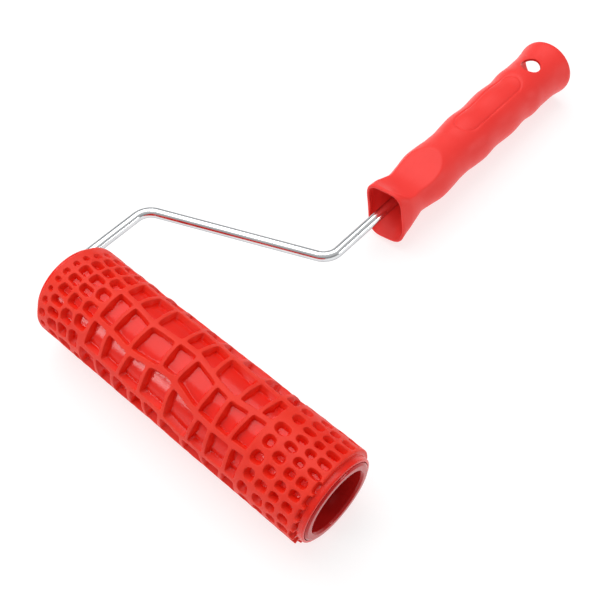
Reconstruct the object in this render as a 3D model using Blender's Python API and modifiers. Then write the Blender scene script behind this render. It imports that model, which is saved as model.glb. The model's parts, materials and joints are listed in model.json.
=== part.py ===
"""Textured pattern roller: rubber crocodile-pattern sleeve on a spinning core,
bent wire frame and hollow moulded handle.

The tool is modelled with the axle along X and the handle along +Y, then stood
on the ground plane: the roller and the butt of the handle touch z = 0.
Lengths are in millimetres here and become metres through MM.
"""
import math
import bpy
import bmesh
from mathutils import Vector, Matrix

MM = 0.001

# ---- roller ---------------------------------------------------------------
SLEEVE_R = 27.2          # over the ribs, at the corners of the facets
SLEEVE_STEPS = 30
SLEEVE_FLAT_R = SLEEVE_R * math.cos(math.pi / SLEEVE_STEPS)
SLEEVE_IN_R = 22.6
RELIEF_HALF = 89.6       # embossed length is +/- this
COLLAR_R = 24.1
COLLAR_HALF = 93.0
POCKET_R = 23.5          # radius of the pocket floors
CRATER_R = 24.4          # radius of the crater floors
RIB_W = 2.5              # width of a rib between two pockets
CORE_R = 22.3
CORE_HALF = 94.0
CORE_MOUTH_R = 17.6
CORE_MID_R = 19.9
PLUG_R = 17.3
PLUG_LEN = 14.0
NEAR_PLUG_FACE = 76.0    # the near plug sits this far along the axle
FAR_PLUG_FACE = -90.0
HUB_R = 6.8
HUB_BORE_R = 4.6
BUSH_R = 4.3
BUSH_BORE_R = 3.3

# ---- wire frame -----------------------------------------------------------
WIRE_D = 5.9
ARM_X = -104.0           # the short arm beside the far end
ARM_Y = 63.0             # corner between arm and diagonal
HANDLE_X = -2.85
NECK_Y = 106.2           # corner between diagonal and tang
TANG_END_Y = 252.0
AXLE_TIP_X = 82.6
BEND_R = 11.0

# ---- handle ---------------------------------------------------------------
GRIP_X = -2.15           # the moulding sits a little off the wire's axis
BUTT_Y = 318.4
MOUTH_Y = 153.4
MOUTH_CHIN = 2.4         # the mouth's lower edge reaches this far ahead of its sides
MOUTH_TURN = 0.2         # the mouth's section is turned on the tang by this angle
MOUTH_HALF_W = 12.95
MOUTH_TOP = 16.0
MOUTH_BOTTOM = 20.8
MOUTH_WALL = 1.9
FUNNEL_END_Y = 198.0
TANG_HOLE_R = 3.3
SOCKET_R = 15.2          # pole socket at the butt
SOCKET_END_R = 12.4
SOCKET_END_Y = 258.0
HANG_Y = 295.2
HANG_R = 6.1

# crests and troughs of the grip: distance along the tool, radius
GRIP_RADII = [(160.0, 16.0), (166.0, 14.9), (172.0, 13.95), (180.0, 14.9),
              (191.0, 16.35), (200.0, 15.85), (207.0, 15.2), (215.0, 15.05),
              (223.0, 15.8), (232.0, 16.4), (244.0, 15.6), (260.0, 16.5),
              (274.0, 15.6), (284.0, 16.55), (292.0, 16.1), (303.0, 16.2),
              (311.0, 17.1), (316.2, 17.9), (BUTT_Y, 17.4)]
# height of the thumb flat above the wire's plane
THUMB_FLAT = [(150.0, 19.0), (156.0, 15.2), (162.0, 12.0), (168.0, 10.2),
              (174.0, 9.6), (180.0, 10.0), (188.0, 12.0), (194.0, 14.2),
              (200.0, 17.2), (206.0, 22.0)]

# ---- pose -----------------------------------------------------------------
BUTT_REST_R = 17.9
BUTT_REST_Y = 316.2
TILT = math.atan2(SLEEVE_FLAT_R - BUTT_REST_R, BUTT_REST_Y)
FACET_DOWN = TILT - math.pi / SLEEVE_STEPS   # turn that lays a facet of the sleeve on the ground

# ---- crocodile pattern ----------------------------------------------------
ROWS = 10
ROW_PITCH = 36.0
BIG_HALF = 54.0          # large cells lie between +/- this
KNOTS = (-54.0, -41.0, -28.0, -14.0, -3.0, 6.0, 17.0, 31.0, 44.0, 54.0)
# angle of the long ribs at the knots, degrees from +Y towards +Z
RIB_ANGLES = {0: (158, 158, 160, 161.5, 160, 164, 168.5, 169, 168, 168),
              1: (120, 122, 125.5, 122, 118.5, 122, 130, 132.5, 132, 130),
              2: (78.5, 81, 86, 84, 81, 84, 91, 95, 91.5, 90),
              3: (45, 46.4, 46.5, 46, 48.5, 50.5, 54, 56, 57.5, 58)}
# places of the cross ribs in the rows on top
CROSS_RIBS = {0: (-54.5, -42.4, -27.9, -14.0, 3.0, 21.2, 31.4, 44.7, 53.2),
              1: (-54.0, -42.4, -28.1, -9.7, 2.4, 19.9, 30.4, 42.0, 52.8),
              2: (-53.2, -41.6, -28.0, -9.6, 1.1, 13.2, 32.6, 45.4, 53.2),
              3: (-54.0, -40.5, -27.0, -10.5, 1.8, 16.3, 32.6, 45.9, 54.6),
              9: (-57.5, -44.3, -32.2, -20.1, -9.1, 1.8, 17.0, 31.0, 43.0, 53.2)}
CRATER_SIDES = 5
# crater rings: place, count, half length, half width, phase
CRATERS = [(58.9, 18, 3.4, 3.3, 0.35), (67.4, 23, 3.2, 2.8, 0.65),
           (75.3, 26, 2.9, 2.5, 0.5), (84.0, 25, 3.9, 2.3, 0.5),
           (-59.3, 18, 3.4, 3.0, 0.9), (-68.3, 21, 3.2, 2.8, 0.3),
           (-76.9, 24, 3.0, 2.4, 0.85)]

# ---------------------------------------------------------------------------
for old in list(bpy.data.objects):
    bpy.data.objects.remove(old, do_unlink=True)

tool = bpy.data.collections.new("textured_pattern_roller")
cutters = bpy.data.collections.new("cutters")
bpy.context.scene.collection.children.link(tool)
bpy.context.scene.collection.children.link(cutters)

stand = bpy.data.objects.new("stand", None)
tool.objects.link(stand)


def material(name, colour, roughness, metallic=0.0):
    mat = bpy.data.materials.new(name)
    mat.use_nodes = True
    bsdf = mat.node_tree.nodes["Principled BSDF"]
    bsdf.inputs["Base Color"].default_value = (*colour, 1.0)
    bsdf.inputs["Roughness"].default_value = roughness
    bsdf.inputs["Metallic"].default_value = metallic
    return mat


def add_object(name, data, mat=None, collection=None):
    obj = bpy.data.objects.new(name, data)
    (collection or tool).objects.link(obj)
    if mat is not None:
        data.materials.append(mat)
        obj.parent = stand
    return obj


def shade(mesh, angle=35.0):
    mesh.shade_smooth()
    mesh.set_sharp_from_angle(angle=math.radians(angle))


def mesh_from_bmesh(name, bm):
    mesh = bpy.data.meshes.new(name)
    bm.to_mesh(mesh)
    bm.free()
    return mesh


def turned(name, profile, steps, rotation, mat=None, collection=None, closed=True, spin=0.0):
    """A profile of (radius, height) pairs, down the outside and back up, turned about local Z.

    spin turns the facets about that axis before the piece is laid along its direction.
    """
    bm = bmesh.new()
    verts = [bm.verts.new((r * MM, 0.0, h * MM)) for r, h in profile]
    for a, b in zip(verts, verts[1:]):
        bm.edges.new((a, b))
    if closed:
        bm.edges.new((verts[-1], verts[0]))
    obj = add_object(name, mesh_from_bmesh(name, bm), mat, collection)
    screw = obj.modifiers.new("turn", 'SCREW')
    screw.axis = 'Z'
    screw.angle = math.tau
    screw.steps = steps
    screw.render_steps = steps
    screw.use_merge_vertices = not closed
    screw.merge_threshold = 0.00001
    screw.use_smooth_shade = True
    obj.rotation_mode = 'ZYX'
    obj.rotation_euler = (rotation[0], rotation[1], spin)
    return obj


ALONG_X = (0.0, math.pi / 2, 0.0)
ALONG_Y = (-math.pi / 2, 0.0, 0.0)


def as_cutter(obj):
    obj.hide_render = True
    obj.display_type = 'WIRE'
    obj.parent = stand
    return obj


def cut(obj, cutter):
    mod = obj.modifiers.new("cut_" + cutter.name, 'BOOLEAN')
    mod.operation = 'DIFFERENCE'
    mod.solver = 'EXACT'
    mod.object = cutter


def smooth_curve(points, at):
    """Monotone-friendly cubic through (place, value) pairs."""
    if at <= points[0][0]:
        return points[0][1]
    if at >= points[-1][0]:
        return points[-1][1]
    slopes = []
    for i, (p, v) in enumerate(points):
        lo = points[max(i - 1, 0)]
        hi = points[min(i + 1, len(points) - 1)]
        left = (v - lo[1]) / (p - lo[0]) if p > lo[0] else None
        right = (hi[1] - v) / (hi[0] - p) if hi[0] > p else None
        if left is None or right is None:
            slopes.append(right if left is None else left)
        elif left * right <= 0.0:
            slopes.append(0.0)
        else:
            slopes.append(2.0 * left * right / (left + right))
    for i in range(len(points) - 1):
        p0, v0 = points[i]
        p1, v1 = points[i + 1]
        if at <= p1:
            h = p1 - p0
            t = (at - p0) / h
            return ((2 * t ** 3 - 3 * t ** 2 + 1) * v0 + (t ** 3 - 2 * t ** 2 + t) * h * slopes[i]
                    + (3 * t ** 2 - 2 * t ** 3) * v1 + (t ** 3 - t ** 2) * h * slopes[i + 1])
    return points[-1][1]


# ---- materials ------------------------------------------------------------
RUBBER = material("red_rubber", (0.80, 0.045, 0.025), 0.42)
CORE_RED = material("dark_red_plastic", (0.36, 0.012, 0.014), 0.18)
GRIP_RED = material("grip_red_plastic", (0.86, 0.06, 0.05), 0.38)
ZINC = material("zinc_plated_steel", (0.78, 0.80, 0.82), 0.18, 1.0)
PLUG_GREY = material("plug_plastic", (0.05, 0.05, 0.055), 0.5)
NYLON = material("natural_nylon", (0.82, 0.80, 0.74), 0.45)
NYLON_NEAR = material("natural_nylon_near", (0.82, 0.80, 0.74), 0.45)
SPRING = material("spring_steel", (0.42, 0.43, 0.45), 0.3, 1.0)
SPRING_CAP = material("cap_steel", (0.55, 0.56, 0.58), 0.28, 1.0)
WASHER = material("washer_nylon", (0.88, 0.88, 0.86), 0.5)
WASHER_NEAR = material("washer_nylon_near", (0.88, 0.88, 0.86), 0.5)
PLUG_NEAR = material("plug_plastic_near", (0.05, 0.05, 0.055), 0.5)


# ---- rubber sleeve --------------------------------------------------------
def on_roller(x, degrees, radius):
    a = math.radians(degrees)
    return Vector((x * MM, radius * math.cos(a) * MM, radius * math.sin(a) * MM))


def rib_angle(k, x):
    """Angle of long rib k at place x; ribs count downwards from the one at 160 degrees."""
    turn = 0.0
    while k >= ROWS:
        k -= ROWS
        turn -= 360.0
    if k in RIB_ANGLES:
        return turn + smooth_curve(list(zip(KNOTS, RIB_ANGLES[k])), x)
    return turn + 159.0 - ROW_PITCH * k + 3.6 * math.sin(x / 17.0 + 1.9 * k) + 1.6 * math.sin(x / 7.3 + 2.7 * k)


def cross_ribs(row):
    """Places of the cross ribs in one row of large cells."""
    if row in CROSS_RIBS:
        return CROSS_RIBS[row]
    steps = [12.6 + 3.2 * math.sin(2.3 * row + 2.1 * i) for i in range(9 if row % 2 else 8)]
    scale = 2 * BIG_HALF / sum(steps)
    places = [-BIG_HALF]
    for step in steps:
        places.append(places[-1] + step * scale)
    return tuple(places)


def add_prism(bm, outline, floor_r, shrink, halves):
    """A tapered pocket cutter; outline is a ring of (x, degrees), floor is pulled in by shrink."""
    cx = sum(p[0] for p in outline) / len(outline)
    ca = sum(p[1] for p in outline) / len(outline)
    per_mm = math.degrees(1.0 / SLEEVE_R)
    top_r = SLEEVE_R + 1.2
    rim = []
    floor = []
    for x, a in outline:
        dx, da = x - cx, (a - ca) / per_mm
        reach = max(math.hypot(dx, da), 0.001)
        out = 1.0 + 0.35 * shrink / reach
        inn = 1.0 - shrink / reach
        rim.append(bm.verts.new(on_roller(cx + dx * out, ca + da * out * per_mm, top_r)))
        floor.append(bm.verts.new(on_roller(cx + dx * inn, ca + da * inn * per_mm, floor_r)))
    count = len(outline)
    for i in range(count):
        j = (i + 1) % count
        bm.faces.new((rim[i], rim[j], floor[j], floor[i]))
    for ring, flip in ((rim, True), (floor, False)):
        if halves:
            parts = ((ring[0], ring[1], ring[2], ring[5]), (ring[5], ring[2], ring[3], ring[4]))
        else:
            parts = (tuple(ring),)
        for part in parts:
            bm.faces.new(tuple(reversed(part)) if flip else part)


def pocket_cutter():
    bm = bmesh.new()
    gap_deg = math.degrees(RIB_W / 2 / SLEEVE_R)
    for row in range(ROWS):
        places = cross_ribs(row)
        for x0, x1 in zip(places, places[1:]):
            xa, xb = x0 + RIB_W / 2, x1 - RIB_W / 2
            hi_a, hi_b = rib_angle(row, xa) - gap_deg, rib_angle(row, xb) - gap_deg
            lo_a, lo_b = rib_angle(row + 1, xa) + gap_deg, rib_angle(row + 1, xb) + gap_deg
            outline = [(xa, lo_a), (xb, lo_b), (xb, (lo_b + hi_b) / 2),
                       (xb, hi_b), (xa, hi_a), (xa, (lo_a + hi_a) / 2)]
            add_prism(bm, outline, POCKET_R, 1.1, True)
    for place, count, half_l, half_w, phase in CRATERS:
        for i in range(count):
            a = 360.0 * (i + phase) / count
            x = place + 0.7 * math.sin(3.1 * i + place)
            half_deg = math.degrees(half_w / SLEEVE_R)
            outline = [(x + half_l * math.cos(t), a + half_deg * math.sin(t))
                       for t in (math.tau * (j + 0.5) / CRATER_SIDES for j in range(CRATER_SIDES))]
            add_prism(bm, outline, CRATER_R, 0.7, False)
    bmesh.ops.recalc_face_normals(bm, faces=bm.faces)
    return as_cutter(add_object("pocket_cutter", mesh_from_bmesh("pocket_cutter", bm), None, cutters))


sleeve_profile = [(SLEEVE_IN_R, COLLAR_HALF), (COLLAR_R - 0.7, COLLAR_HALF), (COLLAR_R, COLLAR_HALF - 0.7),
                  (COLLAR_R, RELIEF_HALF), (SLEEVE_R - 0.7, RELIEF_HALF), (SLEEVE_R, RELIEF_HALF - 0.7),
                  (SLEEVE_R, -RELIEF_HALF + 0.7), (SLEEVE_R - 0.7, -RELIEF_HALF), (COLLAR_R, -RELIEF_HALF),
                  (COLLAR_R, -COLLAR_HALF + 0.7), (COLLAR_R - 0.7, -COLLAR_HALF), (SLEEVE_IN_R, -COLLAR_HALF)]
sleeve = turned("pattern_sleeve", sleeve_profile, SLEEVE_STEPS, ALONG_X, RUBBER, spin=FACET_DOWN)
cut(sleeve, pocket_cutter())

# ---- core tube ------------------------------------------------------------
core_profile = [(CORE_MOUTH_R + 1.6, CORE_HALF), (CORE_R - 1.0, CORE_HALF), (CORE_R, CORE_HALF - 0.8),
                (CORE_R, -CORE_HALF + 0.8), (CORE_R - 1.0, -CORE_HALF), (CORE_MOUTH_R + 1.6, -CORE_HALF),
                (CORE_MOUTH_R, -CORE_HALF + 2.2), (CORE_MOUTH_R, -66.0), (CORE_MID_R, -62.0),
                (CORE_MID_R, 48.0), (CORE_MOUTH_R, 52.0), (CORE_MOUTH_R, CORE_HALF - 2.2)]
core = turned("core_tube", core_profile, SLEEVE_STEPS, ALONG_X, CORE_RED, spin=FACET_DOWN)


# ---- plugs and bushes -----------------------------------------------------
def plug_profile(face, inward):
    """Cup-shaped plug: rim ring, web and hub. inward is -1 or +1 along the axle."""
    def at(depth):
        return face + inward * depth
    ring = [(PLUG_R - 0.5, at(0.0)), (PLUG_R, at(0.6)), (PLUG_R, at(PLUG_LEN)), (PLUG_R - 1.8, at(PLUG_LEN)),
            (PLUG_R - 1.8, at(4.4)), (HUB_R + 1.0, at(4.4)), (HUB_R, at(PLUG_LEN)), (HUB_BORE_R, at(PLUG_LEN)),
            (HUB_BORE_R, at(0.0)), (HUB_R, at(0.0)), (HUB_R + 0.8, at(1.8)), (PLUG_R - 2.4, at(1.8)),
            (PLUG_R - 1.8, at(0.0))]
    return ring if inward < 0 else list(reversed(ring))


near_plug = turned("near_end_plug", plug_profile(NEAR_PLUG_FACE, -1), 24, ALONG_X, PLUG_NEAR)
far_plug = turned("far_end_plug", plug_profile(FAR_PLUG_FACE, 1), 24, ALONG_X, PLUG_GREY)


def bush_profile(face, inward):
    """Flanged nylon bush: the flange lies on the hub's face."""
    def at(depth):
        return face + inward * depth
    ring = [(HUB_R - 0.6, at(-1.3)), (HUB_R - 0.6, at(-0.3)), (BUSH_R, at(-0.3)), (BUSH_R, at(PLUG_LEN - 0.5)),
            (BUSH_BORE_R, at(PLUG_LEN - 0.5)), (BUSH_BORE_R, at(-1.3))]
    return ring if inward < 0 else list(reversed(ring))


near_bush = turned("near_bush", bush_profile(NEAR_PLUG_FACE, -1), 20, ALONG_X, NYLON_NEAR)
far_bush = turned("far_bush", bush_profile(FAR_PLUG_FACE, 1), 20, ALONG_X, NYLON)

# ---- washers, clip and cap ------------------------------------------------
AXLE_HOLE_R = 3.3


def washer(name, low, thick, radius, mat, dish=0.0):
    top = low + thick
    profile = [(AXLE_HOLE_R, top + dish), (radius, top), (radius, low), (AXLE_HOLE_R, low + dish)]
    return turned(name, profile, 20, ALONG_X, mat)


washer("far_thrust_washer", FAR_PLUG_FACE - 2.6, 0.9, 7.0, WASHER)
washer("far_stop_clip", FAR_PLUG_FACE - 3.7, 0.6, 6.2, SPRING, dish=-0.5)
washer("near_thrust_washer", NEAR_PLUG_FACE + 1.6, 0.9, 7.0, WASHER_NEAR)
cap_low = NEAR_PLUG_FACE + 2.8
cap_profile = [(0.0, AXLE_TIP_X + 1.7), (2.2, AXLE_TIP_X + 1.6), (4.0, AXLE_TIP_X + 0.9), (4.4, AXLE_TIP_X - 0.1),
               (4.4, cap_low + 0.6), (5.9, cap_low + 0.6), (5.9, cap_low), (AXLE_HOLE_R, cap_low),
               (AXLE_HOLE_R, AXLE_TIP_X + 0.3), (0.0, AXLE_TIP_X + 0.5)]
turned("axle_end_cap", cap_profile, 20, ALONG_X, SPRING_CAP, closed=False)


# ---- wire frame -----------------------------------------------------------
def bent_path(corners, radius, segments):
    """Points of a bent rod: straight runs joined by arcs of one radius."""
    path = [corners[0]]
    for before, here, after in zip(corners, corners[1:], corners[2:]):
        a = (before - here).normalized()
        b = (after - here).normalized()
        half = a.angle(b) / 2
        reach = radius / math.tan(half)
        centre = here + (a + b).normalized() * (radius / math.sin(half))
        start, end = here + a * reach, here + b * reach
        u = (start - centre).normalized()
        sweep = math.pi - 2 * half
        v = (end - centre).normalized()
        w = (v - u * u.dot(v)).normalized()
        for i in range(segments + 1):
            t = sweep * i / segments
            path.append(centre + (u * math.cos(t) + w * math.sin(t)) * radius)
    path.append(corners[-1])
    return path


wire_path = bent_path([Vector((AXLE_TIP_X, 0, 0)), Vector((ARM_X, 0, 0)), Vector((ARM_X, ARM_Y, 0)),
                       Vector((HANDLE_X, NECK_Y, 0)), Vector((HANDLE_X, TANG_END_Y, 0))], BEND_R, 7)
wire = bpy.data.curves.new("frame_wire", 'CURVE')
wire.dimensions = '3D'
wire.bevel_depth = WIRE_D / 2 * MM
wire.bevel_resolution = 4
wire.use_fill_caps = True
spline = wire.splines.new('POLY')
spline.points.add(len(wire_path) - 1)
for point, place in zip(spline.points, wire_path):
    point.co = (place.x * MM, place.y * MM, place.z * MM, 1.0)
add_object("frame_wire", wire, ZINC)


# ---- handle ---------------------------------------------------------------
def mouth_share(y):
    """1 at the mouth, 0 from the neck on."""
    t = min(max((y - MOUTH_Y) / 17.0, 0.0), 1.0)
    return (1.0 - t) ** 2


def grip_section(y, angle):
    """Offset from the handle's axis of the outer skin at ring y."""
    share = mouth_share(y)
    r = smooth_curve(GRIP_RADII, max(y, 160.0))
    half_w = r + (MOUTH_HALF_W - r) * share
    top = r + (MOUTH_TOP - r) * share
    bottom = r + (MOUTH_BOTTOM - r) * share
    power = 2.0 / (2.0 + 1.7 * share)
    c, s = math.cos(angle), math.sin(angle)
    x = half_w * math.copysign(abs(c) ** power, c)
    z = (top if s > 0 else bottom) * math.copysign(abs(s) ** power, s)
    flat = smooth_curve(THUMB_FLAT, y)
    if z > flat:
        z = flat + 0.04 * (z - flat)
    turn = MOUTH_TURN * share
    return x * math.cos(turn) - z * math.sin(turn), x * math.sin(turn) + z * math.cos(turn)


def mouth_lean(y, z):
    """How far a point of the mouth sits behind its ring; the chin reaches forward."""
    return -MOUTH_CHIN * mouth_share(y) * (min(z, 0.0) / MOUTH_BOTTOM) ** 2


def loft(name, rings, mat=None, collection=None):
    """Closed body through rings of points, with flat ends."""
    bm = bmesh.new()
    loops = [[bm.verts.new(p) for p in ring] for ring in rings]
    for a, b in zip(loops, loops[1:]):
        count = len(a)
        for i in range(count):
            j = (i + 1) % count
            bm.faces.new((a[i], a[j], b[j], b[i]))
    bm.faces.new(list(reversed(loops[0])))
    bm.faces.new(loops[-1])
    bmesh.ops.recalc_face_normals(bm, faces=bm.faces)
    return add_object(name, mesh_from_bmesh(name, bm), mat, collection)


def grip_ring(y, segments, inset=0.0, shift=0.0):
    ring = []
    for i in range(segments):
        angle = math.tau * i / segments
        x, z = grip_section(y, angle)
        reach = math.hypot(x, z)
        keep = (reach - inset) / reach
        ring.append(Vector(((GRIP_X + x * keep) * MM, (y + mouth_lean(y, z) + shift) * MM, z * keep * MM)))
    return ring


GRIP_SEGMENTS = 32
grip_places = [MOUTH_Y, 155.5, 158.5, 162.0, 166.0, 170.0, 174.0, 178.5, 183.0, 187.5, 192.0, 196.0, 200.0, 204.0,
               209.0, 215.0, 220.5, 226.0, 232.0, 238.0, 244.0, 252.0, 260.0, 267.0, 274.0, 279.0, 284.0, 292.0, 298.0,
               303.0, 307.5, 311.0, 313.8, 316.2, BUTT_Y]
grip = loft("handle_grip", [grip_ring(y, GRIP_SEGMENTS) for y in grip_places], GRIP_RED)


def funnel_ring(y, radius, segments=24):
    """Rings of the hollow mouth: parallel to the skin at the edge, round at the bottom."""
    ring = []
    share = mouth_share(max(y, MOUTH_Y))
    for i in range(segments):
        angle = math.tau * i / segments
        x, z = grip_section(max(y, MOUTH_Y), angle)
        reach = math.hypot(x, z)
        keep = (reach - MOUTH_WALL) / reach
        mix = share ** 0.6
        fx = x * keep * mix + radius * math.cos(angle) * (1 - mix)
        fz = z * keep * mix + radius * math.sin(angle) * (1 - mix)
        fz = min(fz, smooth_curve(THUMB_FLAT, max(y, MOUTH_Y)) - MOUTH_WALL - 0.3)
        ring.append(Vector(((GRIP_X + fx) * MM, (y + mouth_lean(max(y, MOUTH_Y), fz)) * MM, fz * MM)))
    return ring


funnel = as_cutter(loft("mouth_cutter", [funnel_ring(MOUTH_Y - 4.0, 13.0), funnel_ring(MOUTH_Y, 13.0),
                                         funnel_ring(158.5, 12.6), funnel_ring(164.0, 12.0),
                                         funnel_ring(171.0, 11.0), funnel_ring(182.0, 9.4),
                                         funnel_ring(FUNNEL_END_Y, 7.6)], None, cutters))
cut(grip, funnel)

tang_hole = as_cutter(turned("tang_cutter", [(0.0, SOCKET_END_Y + 2), (TANG_HOLE_R, SOCKET_END_Y + 2),
                                             (TANG_HOLE_R, FUNNEL_END_Y - 4), (0.0, FUNNEL_END_Y - 4)],
                             24, ALONG_Y, None, cutters, closed=False))
tang_hole.location = (HANDLE_X * MM, 0.0, 0.0)
cut(grip, tang_hole)

socket = as_cutter(turned("socket_cutter", [(0.0, BUTT_Y + 3), (SOCKET_R + 0.9, BUTT_Y + 3), (SOCKET_R + 0.4, BUTT_Y - 0.6),
                                            (SOCKET_R, BUTT_Y - 2.5), (SOCKET_END_R, SOCKET_END_Y), (0.0, SOCKET_END_Y)],
                          32, ALONG_Y, None, cutters, closed=False))
socket.location = (GRIP_X * MM, 0.0, 0.0)
cut(grip, socket)

bm = bmesh.new()
bmesh.ops.create_cone(bm, cap_ends=True, segments=20, radius1=HANG_R * MM, radius2=HANG_R * MM, depth=60 * MM)
hang = as_cutter(add_object("hang_cutter", mesh_from_bmesh("hang_cutter", bm), None, cutters))
hang.location = (GRIP_X * MM, HANG_Y * MM, 0.0)
cut(grip, hang)

for part in tool.objects:
    if part.type == 'MESH' and len(part.data.polygons):
        shade(part.data)

# ---- stand the tool on the ground, centred over the origin -----------------
stand.rotation_euler = (-TILT, 0.0, 0.0)
bpy.context.view_layer.update()
depsgraph = bpy.context.evaluated_depsgraph_get()
low = Vector((1e9, 1e9, 1e9))
high = -low
for part in tool.objects:
    if part.type in {'MESH', 'CURVE'}:
        shape = part.evaluated_get(depsgraph)
        mesh = shape.to_mesh()
        for vert in mesh.vertices:
            place = part.matrix_world @ vert.co
            low = Vector(map(min, low, place))
            high = Vector(map(max, high, place))
        shape.to_mesh_clear()
stand.location = (-(low.x + high.x) / 2, -(low.y + high.y) / 2, -low.z)
bpy.context.view_layer.update()
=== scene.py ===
"""Looks of the textured pattern roller: fine rubber relief, moulded handle,
drawn and bent wire, turned core, plugs, bushes, washers and their materials."""
import json
import math
import bpy
import bmesh
import numpy as np
from mathutils import Vector, Matrix
from mathutils.geometry import delaunay_2d_cdt


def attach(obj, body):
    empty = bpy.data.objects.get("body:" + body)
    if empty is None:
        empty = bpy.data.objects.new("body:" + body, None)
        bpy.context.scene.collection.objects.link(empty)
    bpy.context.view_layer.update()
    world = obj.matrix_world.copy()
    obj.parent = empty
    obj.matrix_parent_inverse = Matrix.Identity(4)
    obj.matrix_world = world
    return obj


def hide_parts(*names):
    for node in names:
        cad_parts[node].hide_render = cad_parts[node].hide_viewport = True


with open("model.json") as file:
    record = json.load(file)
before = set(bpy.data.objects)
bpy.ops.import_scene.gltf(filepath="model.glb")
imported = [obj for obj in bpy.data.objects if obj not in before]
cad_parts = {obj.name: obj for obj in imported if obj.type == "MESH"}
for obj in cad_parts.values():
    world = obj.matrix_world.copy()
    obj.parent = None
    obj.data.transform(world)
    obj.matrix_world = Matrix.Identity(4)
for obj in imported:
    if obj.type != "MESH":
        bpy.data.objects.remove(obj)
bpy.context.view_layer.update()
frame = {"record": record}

MM = 0.001

# ---------------------------------------------------------------- the frame
# Drawing axes: axle along X through the origin, handle along +Y, lengths in mm.
spin = [j for j in frame["record"]["behaviour"]["joints"] if j["name"] == "roller_spin"][0]
AXLE = Vector(spin["pos_m"])
TILT = math.atan2(27.2 * math.cos(math.pi / 30) - 17.9, 316.2)
STAND = Matrix.Translation(AXLE) @ Matrix.Rotation(-TILT, 4, 'X')
ROT = np.array(STAND.to_3x3())
OFF = np.array(AXLE)


def place(points):
    """Drawing points in mm to row-frame points in metres."""
    return np.asarray(points, float) * MM @ ROT.T + OFF


# ---------------------------------------------------------------- dimensions
SLEEVE_R, SLEEVE_IN_R, RELIEF_HALF = 27.05, 22.6, 89.6
COLLAR_R, COLLAR_HALF = 24.1, 93.0
CORE_R, CORE_HALF, CORE_MOUTH_R, CORE_MID_R = 22.3, 94.0, 17.6, 19.9
PLUG_R, PLUG_LEN, NEAR_FACE, FAR_FACE = 17.3, 14.0, 76.0, -90.0
HUB_R, HUB_BORE_R, BUSH_R, BUSH_BORE_R, AXLE_HOLE_R = 6.8, 4.6, 4.3, 3.3, 3.3
WIRE_D, ARM_X, ARM_Y, HANDLE_X, NECK_Y = 5.9, -104.0, 63.0, -2.85, 106.2
TANG_END_Y, AXLE_TIP_X, BEND_R = 252.0, 82.6, 11.0
GRIP_X, BUTT_Y, MOUTH_Y, MOUTH_CHIN, MOUTH_TURN = -2.15, 318.4, 153.4, 2.4, 0.2
MOUTH_HALF_W, MOUTH_TOP, MOUTH_BOTTOM, MOUTH_WALL = 12.95, 16.0, 20.8, 1.9
FUNNEL_END_Y, TANG_HOLE_R = 198.0, 3.3
SOCKET_R, SOCKET_END_R, SOCKET_END_Y = 15.2, 12.4, 258.0
HANG_Y, HANG_R = 295.2, 6.1
GRIP_RADII = [(160.0, 16.0), (166.0, 14.9), (172.0, 13.95), (180.0, 14.9),
              (191.0, 16.35), (200.0, 15.85), (207.0, 15.2), (215.0, 15.05),
              (223.0, 15.8), (232.0, 16.4), (244.0, 15.6), (260.0, 16.5),
              (274.0, 15.6), (284.0, 16.55), (292.0, 16.1), (303.0, 16.2),
              (311.0, 17.1), (316.2, 17.9), (BUTT_Y, 17.4)]
THUMB_FLAT = [(150.0, 19.0), (156.0, 15.2), (162.0, 12.0), (168.0, 10.2),
              (174.0, 9.6), (180.0, 10.0), (188.0, 12.0), (194.0, 14.2),
              (200.0, 17.2), (206.0, 22.0)]


def smooth_curve(points, at):
    """Shape-keeping cubic through (place, value) pairs, for arrays."""
    px = np.array([p[0] for p in points], float)
    py = np.array([p[1] for p in points], float)
    d = np.diff(py) / np.diff(px)
    m = np.empty(len(px))
    m[0], m[-1] = d[0], d[-1]
    for i in range(1, len(px) - 1):
        m[i] = 0.0 if d[i - 1] * d[i] <= 0 else 2 * d[i - 1] * d[i] / (d[i - 1] + d[i])
    at = np.clip(np.asarray(at, float), px[0], px[-1])
    i = np.clip(np.searchsorted(px, at) - 1, 0, len(px) - 2)
    h = px[i + 1] - px[i]
    t = (at - px[i]) / h
    return ((2 * t ** 3 - 3 * t ** 2 + 1) * py[i] + (t ** 3 - 2 * t ** 2 + t) * h * m[i]
            + (3 * t ** 2 - 2 * t ** 3) * py[i + 1] + (t ** 3 - t ** 2) * h * m[i + 1])


def smoothstep(lo, hi, v):
    t = np.clip((np.asarray(v, float) - lo) / (hi - lo), 0.0, 1.0)
    return t * t * (3 - 2 * t)


# ---------------------------------------------------------------- light settings
TABLE_GLOW = 0.70
SKY = [(0.0, 0.52), (0.08, 0.44), (0.18, 0.28), (0.45, 0.36), (0.80, 0.62), (1.0, 0.68)]
LIGHTS = [("key_top", (-0.40, 0.12, 0.90), 1.5, 1.6, 1.95),
          ("front_left", (-0.445, -0.83, 0.36), 1.4, 0.36, 8.0),
          ("right_side", (0.865, 0.43, 0.28), 1.4, 0.42, 4.2)]

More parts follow.
